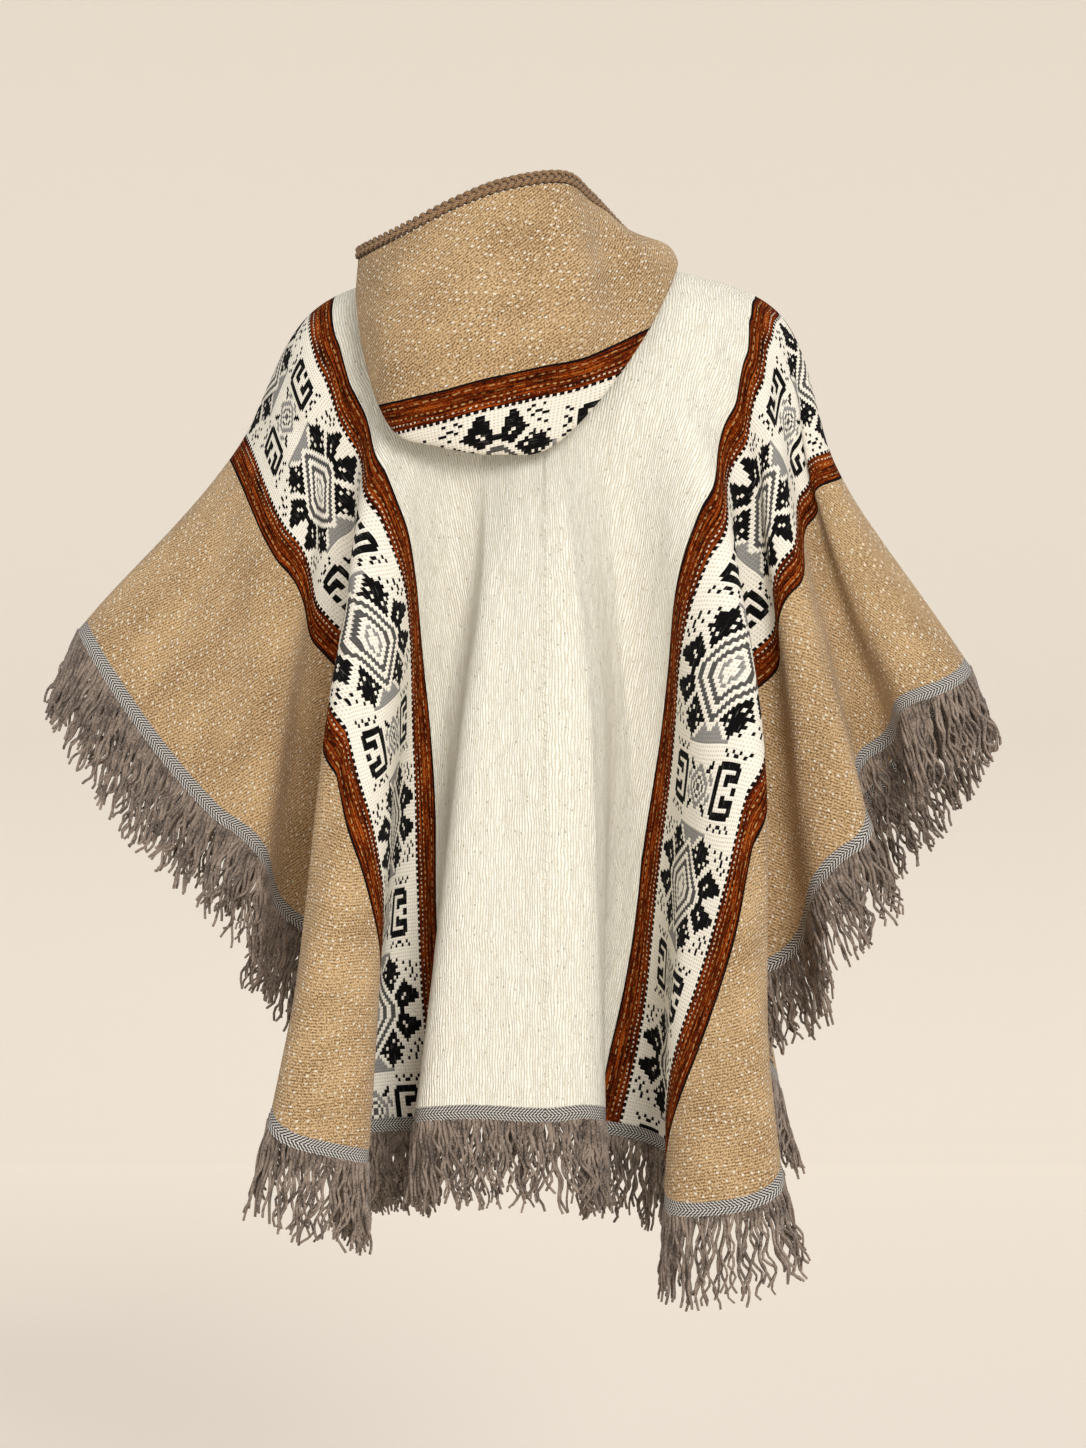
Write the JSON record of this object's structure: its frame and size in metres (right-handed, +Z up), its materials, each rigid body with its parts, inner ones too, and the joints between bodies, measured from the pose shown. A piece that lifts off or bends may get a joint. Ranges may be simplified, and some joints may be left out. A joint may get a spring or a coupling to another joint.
{
  "type": "hooded poncho",
  "caption": "Blanket-cut wool poncho worn open at the sides, with a hood hanging down the back, corded hood edge, striped side bands and a fringed hem.",
  "frame": {"origin": "middle of the neck opening, on the line of the shoulders, where the wearer's neck and shoulders carry the poncho", "axes": "+Z up, +Y towards the wearer's front, so the hood hangs on the -Y side; +X to the right of somebody who looks at the back"},
  "size_m": [0.9411, 0.5325, 1.0634],
  "materials": {
    "blanket_wool": "thick hand-woven wool, natural white centre, rust stripes, dark-patterned bands and tan sides",
    "hood_wool": "thick hand-woven wool, tan with pale flecks",
    "braid_wool": "plaited brown wool yarn",
    "fringe_wool": "loose twisted grey-brown wool yarn below a grey and white woven tape"
  },
  "bodies": {
    "root": {"back_left": "blanket_wool", "back_right": "blanket_wool", "front_left": "blanket_wool", "front_right": "blanket_wool", "hood": "hood_wool", "hood_braid": "braid_wool", "fringe_left": "fringe_wool", "fringe_right": "fringe_wool"}
  },
  "joints": []
}
